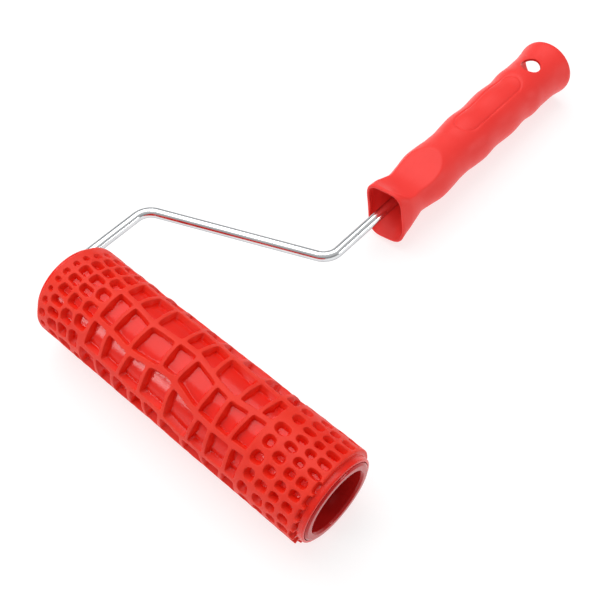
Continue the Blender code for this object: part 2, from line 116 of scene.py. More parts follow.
# ---------------------------------------------------------------- mesh helpers
def grid_mesh(name, points, wrap_u, wrap_v, cap_ends=False):
    """Quads over a (nu, nv, 3) array of drawing points."""
    nu, nv = points.shape[:2]
    co = place(points.reshape(-1, 3))
    iu = np.arange(nu if wrap_u else nu - 1)
    iv = np.arange(nv if wrap_v else nv - 1)
    a, b = np.meshgrid(iu, iv, indexing='ij')
    a2, b2 = (a + 1) % nu, (b + 1) % nv
    quads = np.stack([a * nv + b, a2 * nv + b, a2 * nv + b2, a * nv + b2], axis=-1).reshape(-1, 4)
    faces = quads.tolist()
    if cap_ends:
        faces.append(list(range(nv - 1, -1, -1)))
        faces.append([(nu - 1) * nv + i for i in range(nv)])
    mesh = bpy.data.meshes.new(name)
    mesh.from_pydata(co.tolist(), [], faces)
    mesh.validate()
    bm = bmesh.new()
    bm.from_mesh(mesh)
    bmesh.ops.recalc_face_normals(bm, faces=bm.faces)
    bm.to_mesh(mesh)
    bm.free()
    return mesh


def shade(mesh, angle):
    mesh.shade_smooth()
    if angle is not None:
        mesh.set_sharp_from_angle(angle=math.radians(angle))


def add(name, mesh, mat, body, nodes, angle=35.0):
    obj = bpy.data.objects.new(name, mesh)
    bpy.context.scene.collection.objects.link(obj)
    mesh.materials.clear()
    mesh.materials.append(mat)
    shade(mesh, angle)
    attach(obj, body)
    if nodes:
        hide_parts(*nodes)
    return obj


def rounded(profile, radii, arc=5):
    """Round the corners of a closed (r, x) profile; radii is one number or one per corner."""
    n = len(profile)
    if not hasattr(radii, "__len__"):
        radii = [radii] * n
    out = []
    for i in range(n):
        p = np.array(profile[i], float)
        a = np.array(profile[i - 1], float) - p
        b = np.array(profile[(i + 1) % n], float) - p
        la, lb = np.linalg.norm(a), np.linalg.norm(b)
        a, b = a / la, b / lb
        cosang = float(np.clip(a @ b, -1, 1))
        half = math.acos(cosang) / 2
        if radii[i] <= 0 or half > 1.5:
            out.append(tuple(p))
            continue
        reach = min(radii[i] / math.tan(half), 0.45 * la, 0.45 * lb)
        r = reach * math.tan(half)
        mid = (a + b) / np.linalg.norm(a + b)
        c = p + mid * (r / math.sin(half))
        u = (p + a * reach - c) / r
        w = (p + b * reach - c) / r
        sweep = math.acos(float(np.clip(u @ w, -1, 1)))
        v = w - u * (u @ w)
        v = v / np.linalg.norm(v)
        for k in range(arc + 1):
            t = sweep * k / arc
            out.append(tuple(c + r * (u * math.cos(t) + v * math.sin(t))))
    return out


def turned_mesh(name, profile, segments, axis='X', shift=0.0):
    """A closed (radius, along) profile turned about the axle, or about the handle's line."""
    prof = np.array(profile, float)
    ang = np.linspace(0, 2 * np.pi, segments, endpoint=False)
    r, h = prof[:, 0][:, None], prof[:, 1][:, None]
    c, s = np.cos(ang)[None], np.sin(ang)[None]
    if axis == 'X':
        pts = np.stack([h + 0 * c, r * c, r * s], axis=-1)
    else:
        pts = np.stack([shift + r * c, h + 0 * c, r * s], axis=-1)
    return grid_mesh(name, pts, True, True)


# ---------------------------------------------------------------- node helpers
class Nodes:
    """A material with short calls for its nodes."""

    def __init__(self, name):
        self.mat = bpy.data.materials.new(name)
        self.mat.use_nodes = True
        self.tree = self.mat.node_tree
        self.tree.nodes.clear()
        self.out = self.tree.nodes.new("ShaderNodeOutputMaterial")
        self.bsdf = self.tree.nodes.new("ShaderNodeBsdfPrincipled")
        self.link(self.bsdf, "BSDF", self.out, "Surface")
        self.coord = self.tree.nodes.new("ShaderNodeTexCoord")

    def link(self, a, ao, b, bi):
        self.tree.links.new(a.outputs[ao], b.inputs[bi])

    def node(self, kind, **props):
        n = self.tree.nodes.new(kind)
        for k, v in props.items():
            setattr(n, k, v)
        return n

    def set(self, **values):
        for k, v in values.items():
            self.bsdf.inputs[k.replace("_", " ")].default_value = v

    def mapped(self, scale=(1, 1, 1), location=(0, 0, 0), rotation=(0, 0, 0)):
        m = self.node("ShaderNodeMapping")
        m.inputs["Location"].default_value = location
        m.inputs["Rotation"].default_value = rotation
        m.inputs["Scale"].default_value = scale
        self.link(self.coord, "Object", m, "Vector")
        return m

    def noise(self, source, scale, detail=3.0, rough=0.55, distortion=0.0):
        n = self.node("ShaderNodeTexNoise")
        n.inputs["Scale"].default_value = scale
        n.inputs["Detail"].default_value = detail
        n.inputs["Roughness"].default_value = rough
        n.inputs["Distortion"].default_value = distortion
        self.link(source, "Vector" if "Vector" in source.outputs else "Object", n, "Vector")
        return n

    def ramp(self, source, out, stops):
        r = self.node("ShaderNodeValToRGB")
        el = r.color_ramp.elements
        while len(el) < len(stops):
            el.new(0.5)
        for e, (pos, col) in zip(el, stops):
            e.position = pos
            e.color = (*col, 1.0)
        self.link(source, out, r, "Fac")
        return r

    def range(self, source, out, f0, f1, t0, t1):
        m = self.node("ShaderNodeMapRange")
        m.inputs["From Min"].default_value = f0
        m.inputs["From Max"].default_value = f1
        m.inputs["To Min"].default_value = t0
        m.inputs["To Max"].default_value = t1
        self.link(source, out, m, "Value")
        return m

    def math(self, op, a, b, clamp=False):
        m = self.node("ShaderNodeMath", operation=op, use_clamp=clamp)
        for i, v in enumerate((a, b)):
            if isinstance(v, tuple):
                self.tree.links.new(v[0].outputs[v[1]], m.inputs[i])
            elif v is not None:
                m.inputs[i].default_value = v
        return m

    def mix(self, fac, a, b, blend='MIX'):
        m = self.node("ShaderNodeMix", data_type='RGBA', blend_type=blend)
        for sock, v in ((m.inputs[0], fac), (m.inputs[6], a), (m.inputs[7], b)):
            if isinstance(v, tuple) and not isinstance(v[0], (int, float)):
                self.tree.links.new(v[0].outputs[v[1]], sock)
            elif isinstance(v, tuple):
                sock.default_value = (*v, 1.0)
            else:
                sock.default_value = v
        return m

    def bump(self, height, out, strength, distance, before=None):
        b = self.node("ShaderNodeBump")
        b.inputs["Strength"].default_value = strength
        b.inputs["Distance"].default_value = distance
        self.link(height, out, b, "Height")
        if before is not None:
            self.link(before, "Normal", b, "Normal")
        return b


def axle_distance(n):
    """Distance of a point from the axle, in metres."""
    shift = n.node("ShaderNodeVectorMath", operation='SUBTRACT')
    shift.inputs[1].default_value = tuple(AXLE)
    n.link(n.coord, "Object", shift, 0)
    flat = n.node("ShaderNodeVectorMath", operation='MULTIPLY')
    flat.inputs[1].default_value = (0.0, 1.0, 1.0)
    n.link(shift, "Vector", flat, 0)
    size = n.node("ShaderNodeVectorMath", operation='LENGTH')
    n.link(flat, "Vector", size, 0)
    return size


# ---------------------------------------------------------------- materials
def rubber_material():
    n = Nodes("red_rubber")
    reach = axle_distance(n)
    height = n.range(reach, "Value", 0.0234, 0.0271, 0.0, 1.0)
    blotch = n.noise(n.coord, 55.0, 4.0, 0.6)
    fine = n.noise(n.coord, 900.0, 3.0, 0.6)
    tone = n.ramp(blotch, "Fac", [(0.25, (0.77, 0.020, 0.007)), (0.75, (0.86, 0.032, 0.010))])
    # painted shade: below the crown the colour mixes towards a darker, deeper red with depth, so the pocket and crater
    # floors and walls carry painted shade over the rubber's own tone
    floor = n.mix((height, "Result"), (0.80, 0.016, 0.007), (tone, "Color"))
    n.link(floor, 2, n.bsdf, "Base Color")
    base = n.range(height, "Result", 0.05, 0.75, 0.18, 0.50)
    vary = n.range(blotch, "Fac", 0.3, 0.7, -0.04, 0.05)
    rough = n.math('ADD', (base, "Result"), (vary, "Result"))
    n.link(rough, "Value", n.bsdf, "Roughness")
    b1 = n.bump(fine, "Fac", 0.10, 0.0002)
    b2 = n.bump(blotch, "Fac", 0.10, 0.0006, b1)
    n.link(b2, "Normal", n.bsdf, "Normal")
    n.set(IOR=1.5, Specular_IOR_Level=0.30)
    return n.mat


def core_material():
    n = Nodes("dark_red_plastic")
    blotch = n.noise(n.coord, 70.0, 4.0, 0.6)
    rings = n.noise(n.mapped(scale=(900.0, 12.0, 12.0)), 1.0, 2.0, 0.5)
    tone = n.ramp(blotch, "Fac", [(0.25, (0.46, 0.010, 0.009)), (0.75, (0.58, 0.014, 0.012))])
    n.link(tone, "Color", n.bsdf, "Base Color")
    rough = n.range(rings, "Fac", 0.3, 0.7, 0.12, 0.20)
    n.link(rough, "Result", n.bsdf, "Roughness")
    b = n.bump(rings, "Fac", 0.05, 0.0001)
    n.link(b, "Normal", n.bsdf, "Normal")
    n.set(IOR=1.5, Specular_IOR_Level=0.26)
    return n.mat


def grip_material():
    n = Nodes("grip_red_plastic")
    cloud = n.noise(n.coord, 28.0, 3.0, 0.5)
    flow = n.noise(n.mapped(scale=(160.0, 18.0, 160.0)), 1.0, 3.0, 0.55)
    grain = n.noise(n.coord, 2600.0, 2.0, 0.5)
    tone = n.ramp(cloud, "Fac", [(0.3, (0.86, 0.034, 0.028)), (0.7, (0.91, 0.044, 0.036))])
    streak = n.range(flow, "Fac", 0.3, 0.7, 0.0, 0.35)
    colour = n.mix((streak, "Result"), (tone, "Color"), (0.92, 0.052, 0.044))
    n.link(colour, 2, n.bsdf, "Base Color")
    rough = n.range(cloud, "Fac", 0.3, 0.7, 0.34, 0.44)
    n.link(rough, "Result", n.bsdf, "Roughness")
    b1 = n.bump(grain, "Fac", 0.12, 0.00012)
    b2 = n.bump(flow, "Fac", 0.04, 0.0003, b1)
    n.link(b2, "Normal", n.bsdf, "Normal")
    n.set(IOR=1.49, Specular_IOR_Level=0.27, Subsurface_Weight=0.06, Subsurface_Scale=0.003)
    n.bsdf.inputs["Subsurface Radius"].default_value = (1.0, 0.25, 0.2)
    return n.mat


def zinc_material():
    n = Nodes("zinc_plated_steel")
    drawn = n.noise(n.mapped(scale=(1400.0, 1400.0, 1400.0)), 1.0, 3.0, 0.6)
    cloud = n.noise(n.coord, 90.0, 4.0, 0.6)
    tone = n.ramp(cloud, "Fac", [(0.25, (0.66, 0.68, 0.70)), (0.75, (0.80, 0.81, 0.82))])
    n.link(tone, "Color", n.bsdf, "Base Color")
    rough = n.range(cloud, "Fac", 0.3, 0.7, 0.10, 0.20)
    n.link(rough, "Result", n.bsdf, "Roughness")
    b = n.bump(drawn, "Fac", 0.05, 0.00005)
    n.link(b, "Normal", n.bsdf, "Normal")
    n.set(Metallic=1.0, Specular_Tint=(0.30, 0.31, 0.33, 1.0))
    return n.mat


def steel_material():
    n = Nodes("spring_steel")
    grain = n.noise(n.mapped(scale=(300.0, 2200.0, 2200.0)), 1.0, 3.0, 0.6)
    cloud = n.noise(n.coord, 160.0, 4.0, 0.6)
    tone = n.ramp(cloud, "Fac", [(0.25, (0.36, 0.37, 0.39)), (0.75, (0.50, 0.51, 0.53))])
    n.link(tone, "Color", n.bsdf, "Base Color")
    rough = n.range(grain, "Fac", 0.3, 0.7, 0.24, 0.42)
    n.link(rough, "Result", n.bsdf, "Roughness")
    b = n.bump(grain, "Fac", 0.08, 0.00006)
    n.link(b, "Normal", n.bsdf, "Normal")
    n.set(Metallic=1.0)
    return n.mat


def dull_plastic(name, low, high, rough_lo, rough_hi):
    n = Nodes(name)
    cloud = n.noise(n.coord, 120.0, 4.0, 0.6)
    grain = n.noise(n.coord, 2400.0, 2.0, 0.5)
    tone = n.ramp(cloud, "Fac", [(0.25, low), (0.75, high)])
    n.link(tone, "Color", n.bsdf, "Base Color")
    rough = n.range(cloud, "Fac", 0.3, 0.7, rough_lo, rough_hi)
    n.link(rough, "Result", n.bsdf, "Roughness")
    b = n.bump(grain, "Fac", 0.12, 0.0001)
    n.link(b, "Normal", n.bsdf, "Normal")
    return n.mat


RUBBER = rubber_material()
CORE = core_material()
GRIP = grip_material()
ZINC = zinc_material()
STEEL = steel_material()
PLUG = dull_plastic("plug_plastic", (0.012, 0.012, 0.013), (0.022, 0.022, 0.024), 0.42, 0.55)
NYLON = dull_plastic("natural_nylon", (0.62, 0.60, 0.52), (0.74, 0.72, 0.64), 0.35, 0.48)


# ---------------------------------------------------------------- rubber relief
# The skin is drawn unrolled: x along the axle, s round it, both in mm at the crown.
# Every cell is a star-shaped outline about its centre, limited by its neighbours' ribs.
TURN = 2 * math.pi * SLEEVE_R
CROWN_R = SLEEVE_R - 0.16
ROWS, ROW_PITCH, BIG_HALF = 10, 36.0, 54.0
LONG_RIB, CROSS_RIB, NET_RIB = 1.0, 1.0, 1.25      # half widths of ribs, and the width of the net's strands
POCKET_DEPTH, CRATER_DEPTH, TINY_DEPTH = 3.75, 3.5, 1.9
KNOTS = (-54.0, -41.0, -28.0, -14.0, -3.0, 6.0, 17.0, 31.0, 44.0, 54.0)
RIB_ANGLES = {0: (158, 158, 160, 161.5, 160, 164, 168.5, 169, 168, 168),
              1: (120, 122, 125.5, 122, 118.5, 122, 130, 132.5, 132, 130),
              2: (78.5, 81, 86, 84, 81, 84, 91, 95, 91.5, 90),
              3: (45, 46.4, 46.5, 46, 48.5, 50.5, 54, 56, 57.5, 58)}
CROSS_RIBS = {0: (-54.5, -42.4, -27.9, -14.0, 3.0, 21.2, 31.4, 44.7, 53.2),
              1: (-54.0, -42.4, -28.1, -9.7, 2.4, 19.9, 30.4, 42.0, 52.8),
              2: (-53.2, -41.6, -28.0, -9.6, 1.1, 13.2, 32.6, 45.4, 53.2),
              3: (-54.0, -40.5, -27.0, -10.5, 1.8, 16.3, 32.6, 45.9, 54.6),
              9: (-57.5, -44.3, -32.2, -20.1, -9.1, 1.8, 17.0, 31.0, 43.0, 53.2)}
# net cells of the top side: (place, angle, half length, half width)
RIGHT_TOP = [
    (57.5, 166.6, 3.4, 4.2), (58.9, 145.4, 3.2, 3.5), (57.9, 125.7, 3.7, 3.6), (58.1, 105.8, 3.2, 3.4),
    (58.9, 88.0, 4.4, 3.3), (60.4, 67.0, 3.3, 3.2), (59.2, 49.0, 3.2, 3.0),
    (67.1, 166.6, 3.5, 3.6), (66.4, 147.4, 3.6, 3.2), (66.8, 129.0, 3.4, 3.2), (66.7, 112.4, 3.4, 2.8),
    (67.8, 97.0, 3.6, 2.4), (69.2, 84.3, 3.4, 2.4), (68.6, 71.2, 3.9, 2.1), (68.9, 56.6, 3.6, 3.1), (69.5, 42.5, 3.2, 2.8),
    (74.5, 161.5, 2.9, 2.8), (74.4, 147.4, 3.0, 2.9), (74.9, 133.4, 3.1, 2.9), (75.3, 118.0, 3.1, 2.9),
    (75.5, 104.0, 3.1, 2.6), (76.8, 90.0, 3.1, 2.4), (76.8, 76.6, 2.9, 2.4), (77.0, 63.0, 2.9, 2.7), (76.5, 49.5, 2.9, 2.6),
    (82.2, 163.5, 3.2, 2.8), (82.2, 147.0, 3.1, 2.8), (82.6, 131.6, 3.1, 2.9), (82.2, 117.5, 3.0, 2.9),
    (84.4, 103.5, 4.3, 2.1), (84.6, 89.4, 4.2, 2.5), (84.6, 76.6, 4.2, 2.3), (84.2, 63.0, 3.8, 2.7), (84.4, 49.5, 3.7, 2.5)]
LEFT_TOP = [
    (-61.2, 159.0, 3.6, 4.2), (-60.0, 135.0, 3.8, 3.4), (-59.2, 117.5, 4.2, 3.1), (-59.4, 96.3, 3.8, 3.0),
    (-58.8, 76.3, 4.0, 3.0), (-57.9, 60.0, 3.2, 3.0), (-57.9, 43.5, 3.0, 2.9),
    (-70.2, 160.0, 3.5, 3.3), (-69.6, 141.0, 3.5, 3.7), (-69.3, 121.0, 3.8, 3.2), (-68.2, 104.0, 4.4, 2.5),
    (-68.2, 88.0, 3.9, 3.0), (-67.8, 72.5, 3.3, 2.6), (-66.4, 57.0, 3.3, 2.8), (-65.8, 42.5, 3.1, 2.8),
    (-77.2, 163.5, 3.5, 3.0), (-78.2, 148.7, 4.0, 2.3), (-78.8, 133.4, 4.2, 2.3), (-78.2, 118.0, 3.6, 2.8),
    (-77.4, 102.7, 3.6, 2.6), (-76.9, 87.3, 3.5, 2.8), (-75.7, 72.5, 3.4, 2.6), (-74.3, 58.0, 3.1, 2.7), (-73.6, 44.5, 2.9, 2.5)]
LEFT_TINY = [(-85.6, 158.5, 2.4, 2.4), (-85.6, 142.0, 1.9, 2.2), (-85.6, 127.0, 1.5, 1.6), (-85.1, 114.0, 2.0, 1.6),
             (-84.7, 101.4, 1.8, 2.0), (-84.2, 87.3, 1.8, 1.7), (-83.6, 74.6, 1.8, 1.7), (-81.8, 61.5, 2.1, 2.3),
             (-81.2, 48.0, 1.9, 1.9)]


def rib_angle(k, x):
    turn = 0.0
    while k >= ROWS:
        k -= ROWS
        turn -= 360.0
    if k in RIB_ANGLES:
        return turn + float(smooth_curve(list(zip(KNOTS, RIB_ANGLES[k])), x))
    return turn + 159.0 - ROW_PITCH * k + 3.6 * math.sin(x / 17.0 + 1.9 * k) + 1.6 * math.sin(x / 7.3 + 2.7 * k)


def cross_ribs(row):
    if row in CROSS_RIBS:
        return CROSS_RIBS[row]
    steps = [12.6 + 3.2 * math.sin(2.3 * row + 2.1 * i) for i in range(9 if row % 2 else 8)]
    scale = 2 * BIG_HALF / sum(steps)
    places = [-BIG_HALF]
    for step in steps:
        places.append(places[-1] + step * scale)
    return tuple(places)


def round_s(degrees):
    return math.radians(degrees) * SLEEVE_R


def waves(x, s, seed, scale):
    """Smooth repeatable unevenness of the hand-cut pattern, the same after a full turn."""
    rng = np.random.default_rng(seed)
    total = np.zeros_like(x)
    for _ in range(10):
        kx = rng.uniform(-1.0, 1.0) / scale * 2 * math.pi
        turns = round(rng.uniform(-1.0, 1.0) * TURN / scale)
        total += np.sin(kx * x + s / SLEEVE_R * turns + rng.uniform(0, 2 * math.pi))
    return total / math.sqrt(10)


def hidden_ring(place_x, count, half_l, half_w, phase, lo, hi):
    out = []
    for i in range(count):
        a = lo + (hi - lo) * (i + 0.5) / count
        k = i + 3.7 * phase
        out.append((place_x + 0.9 * math.sin(3.1 * k + place_x), a + 1.6 * math.sin(1.7 * k),
                    half_l * (1 + 0.10 * math.sin(2.3 * k + 1.0)), half_w * (1 + 0.10 * math.sin(4.1 * k))))
    return out


def side_plane(cx, cs, p, q, inset):
    """Distance limit from (cx, cs) to the rib's line through p and q, less the rib's half width."""
    ex, es = q[0] - p[0], q[1] - p[1]
    size = math.hypot(ex, es)
    nx, ns = es / size, -ex / size
    d = (p[0] - cx) * nx + (p[1] - cs) * ns
    if d < 0:
        nx, ns, d = -nx, -ns, -d
    return (nx, ns, max(d - inset, 0.3))


def big_cells():
    cells = []
    for row in range(ROWS):
        ribs = cross_ribs(row)
        for j, (x0, x1) in enumerate(zip(ribs, ribs[1:])):
            corner = []
            for k, xr in ((row, x0), (row, x1), (row + 1, x1), (row + 1, x0)):
                rib = j if xr == x0 else j + 1
                lean = 0.9 * math.sin(1.3 * row + 2.2 * rib) * (1 if k == row else -1)
                at = xr + (lean if 0 < rib < len(ribs) - 1 else 0.35 * lean)
                corner.append((at, round_s(rib_angle(k, at))))
            mid = (x0 + x1) / 2
            top_mid = (mid, round_s(rib_angle(row, mid)))
            low_mid = (mid, round_s(rib_angle(row + 1, mid)))
            cx = sum(c[0] for c in corner) / 4
            cs = sum(c[1] for c in corner) / 4
            planes = [side_plane(cx, cs, corner[1], corner[2], CROSS_RIB), side_plane(cx, cs, corner[3], corner[0], CROSS_RIB)]
            for a, m, b in ((corner[0], top_mid, corner[1]), (corner[3], low_mid, corner[2])):
                planes.append(side_plane(cx, cs, a, m, LONG_RIB))
                planes.append(side_plane(cx, cs, m, b, LONG_RIB))
            cells.append(dict(x=cx, s=cs, planes=planes, limit=None, power=13.0, depth=POCKET_DEPTH, draft=0.70, lean=0.85,
                              count=64, seed=row * 31 + j, wob=0.010, kind="big"))
    return cells


def row_of(angle, x):
    a = angle
    for row in range(ROWS):
        for turn in (0.0, 360.0, -360.0):
            if rib_angle(row + 1, x) <= a + turn < rib_angle(row, x):
                return row
    return 0


def net_cells():
    lo, hi = 177.0, 395.0
    right = RIGHT_TOP + hidden_ring(58.9, 11, 3.5, 3.5, 0.1, lo, hi + 5) + hidden_ring(67.4, 13, 3.4, 3.1, 0.4, lo - 2, hi)
    right += hidden_ring(75.3, 15, 3.0, 2.8, 0.2, lo - 8, hi + 3) + hidden_ring(82.8, 15, 3.2, 2.7, 0.7, lo - 6, hi + 4)
    left = LEFT_TOP + hidden_ring(-59.3, 11, 3.7, 3.7, 0.3, lo, hi) + hidden_ring(-68.3, 12, 3.5, 3.2, 0.8, lo - 3, hi - 2)
    left += hidden_ring(-76.9, 14, 3.4, 2.7, 0.5, lo - 2, hi - 3)
    tiny = LEFT_TINY + hidden_ring(-84.6, 15, 1.9, 1.9, 0.6, lo - 8, hi + 2)
    cells = []
    for group, side, depth, kind in ((right, 1, CRATER_DEPTH, "round"), (left, -1, CRATER_DEPTH, "net"), (tiny, -1, TINY_DEPTH, "tiny")):
        for i, (x, a, hl, hw) in enumerate(group):
            cells.append(dict(x=x, s=round_s(a), hl=hl, hw=hw, side=side, angle=a, depth=depth, kind=kind, seed=500 + 7 * i + int(abs(x))))
    for c in cells:
        planes = []
        for o in cells:
            if o is c or o["side"] != c["side"]:
                continue
            ds = (o["s"] - c["s"] + TURN / 2) % TURN - TURN / 2
            dx = o["x"] - c["x"]
            gap = math.hypot(dx, ds)
            if gap > 15.0:
                continue
            ux, us = dx / gap, ds / gap
            mine = 1 / math.hypot(ux / c["hl"], us / c["hw"])
            theirs = 1 / math.hypot(ux / o["hl"], us / o["hw"])
            strand = 1.45 if c["kind"] == "net" else NET_RIB
            planes.append((ux, us, max((gap + mine - theirs) / 2 - strand / 2, 0.9)))
        # the outermost rib of the large cells
        ends = []
        for shift in (-0.6, 0.0, 0.6):
            row = row_of(c["angle"] + shift * math.degrees(c["hw"] / SLEEVE_R), 54.0 * c["side"])
            ends.append(cross_ribs(row)[-1 if c["side"] > 0 else 0])
        if c["side"] > 0:
            planes.append((-1.0, 0.0, max(c["x"] - max(ends) - CROSS_RIB - 0.1, 1.2)))
            planes.append((1.0, 0.0, max(RELIEF_HALF - 1.0 - c["x"], 1.2)))
        else:
            planes.append((1.0, 0.0, max(min(ends) - c["x"] - CROSS_RIB - 0.1, 1.2)))
            planes.append((-1.0, 0.0, max(RELIEF_HALF - 1.1 + c["x"], 0.9)))
        net = c["kind"] == "net"
        c.update(planes=planes, limit=(c["hl"] * (1.25 if net else 1.03), c["hw"] * (1.25 if net else 1.03), 2.6 if net else 2.2),
                 power=10.0 if net else 6.5, draft=1.20, lean=0.15, count=36 if c["kind"] != "tiny" else 24, wob=0.02)
    return cells


def open_cells():
    """Half cells along the near edge, cut off by the end of the relief."""
    cells = []
    for i in range(14):
        a = 112.0 + 16.4 * i
        if a > 330:
            break
        hl, hw = 2.5 + 0.35 * math.sin(1.9 * i), 3.35 + 0.25 * math.sin(3.3 * i)
        x = 89.9 + 0.3 * math.sin(2.7 * i)
        cells.append(dict(x=x, s=round_s(a), planes=[(-1.0, 0.0, x - 86.9)], limit=(hl, hw, 3.0), power=8.0, depth=3.3, draft=0.5, lean=0.0,
                          count=64, seed=900 + i, wob=0.02, kind="open"))
    return cells


def reach_of(cell, t):
    """Distance from a cell's centre to its outline in the directions t."""
    u, v = np.cos(t), np.sin(t)
    p = cell["power"]
    acc = np.zeros_like(t)
    for nx, ns, d in cell["planes"]:
        acc += (np.maximum(u * nx + v * ns, 0.0) / d) ** p
    if cell["limit"]:
        hl, hw, q = cell["limit"]
        acc += ((np.abs(u) / hl) ** q + (np.abs(v) / hw) ** q) ** (p / q)
    r = acc ** (-1 / p)
    k = cell["seed"]
    return r * (1 + cell["wob"] * (0.6 * np.sin(2 * t + 1.7 * k) + 0.8 * np.sin(3 * t + 2.3 * k) + 0.4 * np.sin(5 * t + 0.9 * k)))


def levels_of(cell, t):
    """(step in from the outline, depth below the crown) of each ring from the crown to the floor."""
    full, draft = cell["depth"], cell["draft"] + cell["lean"] * np.cos(t) ** 2
    return [(-0.26, 0.0), (-0.08, 0.05), (0.05, 0.19), (0.10, 0.40), (0.10 + draft, full - 0.30),
            (0.22 + draft, full - 0.08), (0.46 + draft, full)]


def sleeve_mesh():
    cells = big_cells() + net_cells() + open_cells()
    for c in cells:
        c["s"] %= TURN
    px, ps, pd = [], [], []          # place, round, depth below the crown
    edges = []
    boundary = []                    # extra points on the near edge: (s, depth)

    def put(x, s, d):
        px.append(float(x)); ps.append(float(s) % TURN); pd.append(float(d))
        return len(px) - 1

    for c in cells:
        t = np.linspace(0, 2 * math.pi, c["count"], endpoint=False)
        r = reach_of(c, t)
        for step, depth in levels_of(c, t):
            step = np.where(step > 0.5 * r, 0.5 * r + 0.3 * (step - 0.5 * r), step)
            x = c["x"] + (r - step) * np.cos(t)
            s = c["s"] + (r - step) * np.sin(t)
            if c["kind"] != "open":
                ids = [put(a, b, depth) for a, b in zip(x, s)]
                edges += [(ids[i], ids[(i + 1) % len(ids)]) for i in range(len(ids))]
                continue
            inside = x < RELIEF_HALF - 0.02
            n = len(t)
            first = next(i for i in range(n) if inside[i] and not inside[i - 1])
            run, i = [], first
            while inside[i % n]:
                run.append(i % n)
                i += 1

            def crossing(a, b):
                f = (RELIEF_HALF - x[a]) / (x[b] - x[a])
                return s[a] + f * (s[b] - s[a])

            s_in = crossing(first, (first - 1) % n)
            s_out = crossing(run[-1], (run[-1] + 1) % n)
            head, tail = put(RELIEF_HALF, s_in, depth), put(RELIEF_HALF, s_out, depth)
            ids = [head] + [put(x[k], s[k], depth) for k in run] + [tail]
            edges += list(zip(ids, ids[1:]))
            boundary += [head, tail]

    # where a loose point lies: on the crown, on a floor, or on a wall
    def settle(x, s):
        x, s = np.asarray(x, float), np.asarray(s, float)
        depth = np.zeros_like(x)
        keep = np.ones(len(x), bool)
        for c in cells:
            ds = (s - c["s"] + TURN / 2) % TURN - TURN / 2
            dx = x - c["x"]
            near = np.hypot(dx, ds) < 16.0
            if not near.any():
                continue
            t = np.arctan2(ds[near], dx[near])
            dist = np.hypot(dx[near], ds[near])
            r = reach_of(c, t)
            lv = levels_of(c, t)
            last = np.where(lv[-1][0] > 0.5 * r, 0.5 * r + 0.3 * (lv[-1][0] - 0.5 * r), lv[-1][0])
            outer, inner = r + 0.26 + 0.30, r - last - 0.30
            d, k = depth[near], keep[near]
            d[dist < inner] = lv[-1][1]
            k[(dist >= inner) & (dist <= outer)] = False
            depth[near], keep[near] = d, k
        return depth, keep

    rng = np.random.default_rng(5)
    pitch = 1.55
    rows_n = int(round(TURN / (pitch * 0.866)))
    gx, gs = [], []
    for i in range(rows_n):
        xs = np.arange(-RELIEF_HALF + 1.2 + (pitch / 2 if i % 2 else 0), RELIEF_HALF - 1.1, pitch)
        gx.append(xs + rng.uniform(-0.2, 0.2, len(xs)))
        gs.append(np.full(len(xs), i * TURN / rows_n) + rng.uniform(-0.2, 0.2, len(xs)))
    gx, gs = np.concatenate(gx), np.concatenate(gs) % TURN
    d, keep = settle(gx, gs)
    for x, s, dep in zip(gx[keep], gs[keep], d[keep]):
        put(x, s, dep)

    # the rolled edges at both ends, then the end rings themselves
    ring_n = 200
    s_ring = np.arange(ring_n) * TURN / ring_n
    for side in (-1, 1):
        for back, drop in ((0.75, 0.0), (0.35, 0.08), (0.10, 0.28)):
            x = np.full(ring_n, side * (RELIEF_HALF - back))
            s = (s_ring + 0.11 * back) % TURN
            d, keep = settle(x, s)
            for a, b, dep in zip(x[keep], s[keep], d[keep]):
                put(a, b, dep + (drop if dep == 0 else 0.0))
    ends = {-1: [], 1: list(boundary)}
    for side in (-1, 1):
        x = np.full(ring_n, side * RELIEF_HALF)
        d, keep = settle(x, s_ring)
        taken = np.array([ps[i] for i in ends[side]] or [-99.0])
        for a, b, dep, k in zip(x, s_ring, d, keep):
            if not k or np.min(np.abs(taken - b)) < 0.25:
                continue
            ends[side].append(put(a, b, dep + (0.5 if dep == 0 else 0.0)))
        ends[side].sort(key=lambda i: ps[i])
        loop = ends[side]
        edges += [(loop[i], loop[(i + 1) % len(loop)]) for i in range(len(loop))]

    # triangulate a strip wider than one turn, so that both sides of the seam come out alike
    margin = 9.0
    base = len(px)
    X, S, D = np.array(px), np.array(ps), np.array(pd)
    source, coords, index = [], [], {}
    for k in (-1, 0, 1):
        for i in np.nonzero((S + k * TURN > -margin) & (S + k * TURN < TURN + margin))[0]:
            index[(int(i), k)] = len(coords)
            source.append((int(i), k))
            coords.append(Vector((X[i], S[i] + k * TURN)))
    wide = []
    for a, b in edges:
        hop = -round((S[b] - S[a]) / TURN)
        for k in (-1, 0, 1):
            ia, ib = index.get((a, k)), index.get((b, k + hop))
            if ia is not None and ib is not None:
                wide.append((ia, ib))
    out_v, _, out_f, orig, _, _ = delaunay_2d_cdt(coords, wide, [], 0, 1e-6)
    back = {}
    extra = []
    for n, o in enumerate(orig):
        if o:
            back[n] = source[o[0]][0]
        else:
            extra.append(n)
    for n in extra:                  # an outline that meets another one
        p = out_v[n]
        s = p.y % TURN
        near = int(np.argmin(np.hypot(X - p.x, (S - s + TURN / 2) % TURN - TURN / 2)))
        px.append(p.x); ps.append(s); pd.append(D[near])
        back[n] = len(px) - 1
    tris = []
    for f in out_f:
        mid = sum(out_v[i].y for i in f) / 3
        if 0.0 <= mid < TURN:
            t = [back[i] for i in f]
            if len(set(t)) == 3:
                tris.append(t)
    X, S, D = np.array(px), np.array(ps), np.array(pd)
    crown = 0.075 * waves(X, S, 16, 13.0) + 0.05 * waves(X, S, 17, 5.5) - 0.03
    R = CROWN_R + np.minimum(crown, 0.14) * np.clip(1 - D / 3.0, 0, 1) - D
    R = np.minimum(R, SLEEVE_R - 0.01)
    A = S / SLEEVE_R
    verts = list(np.stack([X, R * np.cos(A), R * np.sin(A)], axis=-1))
    faces = list(tris)

